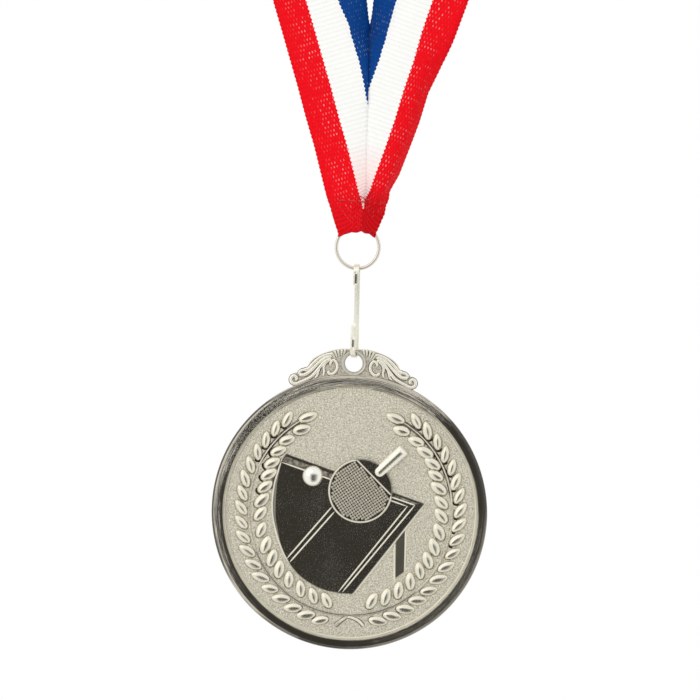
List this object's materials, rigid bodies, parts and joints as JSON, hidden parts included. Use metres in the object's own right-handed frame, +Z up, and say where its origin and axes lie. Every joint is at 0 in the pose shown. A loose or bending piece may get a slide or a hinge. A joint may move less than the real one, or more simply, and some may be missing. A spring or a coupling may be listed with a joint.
{
  "type": "prize medal on a neck ribbon",
  "caption": "Round cast medal with a laurel wreath and a table-tennis relief, hung by a hook and a split ring from a striped neck ribbon.",
  "frame": {"origin": "middle of the inside of the ribbon loop's top, where it rests on the neck", "axes": "+Z up, -Y out of the medal's face, +X to the right seen from the front"},
  "size_m": [0.1508, 0.022, 0.4314],
  "materials": {
    "ribbon_tape": "woven polyester tape with red, white and blue stripes",
    "sewing_thread": "polyester sewing thread",
    "plated_wire": "bright nickel plate",
    "medal_metal": "nickel-plated casting, polished relief on a sandblasted field"
  },
  "bodies": {
    "ribbon": {"neck_ribbon": "ribbon_tape", "seam_thread": "sewing_thread"},
    "ring": {"ribbon_hem": "ribbon_tape", "hem_thread": "sewing_thread", "split_ring": "plated_wire"},
    "hook": {"hook": "plated_wire"},
    "medal": {"medal": "medal_metal"}
  },
  "joints": [
    {"name": "hem_swing", "type": "hinge", "parent": "ribbon", "child": "ring", "pos_m": [0, 0, -0.3241], "axis": [1, 0, 0], "range_deg": [-70, 70]},
    {"name": "hook_swing", "type": "hinge", "parent": "ring", "child": "hook", "pos_m": [0, 0, -0.34148], "axis": [0.9781, -0.2079, 0], "range_deg": [-80, 80]},
    {"name": "medal_swing", "type": "hinge", "parent": "hook", "child": "medal", "pos_m": [0, 0, -0.36296], "axis": [0, 1, 0], "range_deg": [-45, 45]}
  ]
}
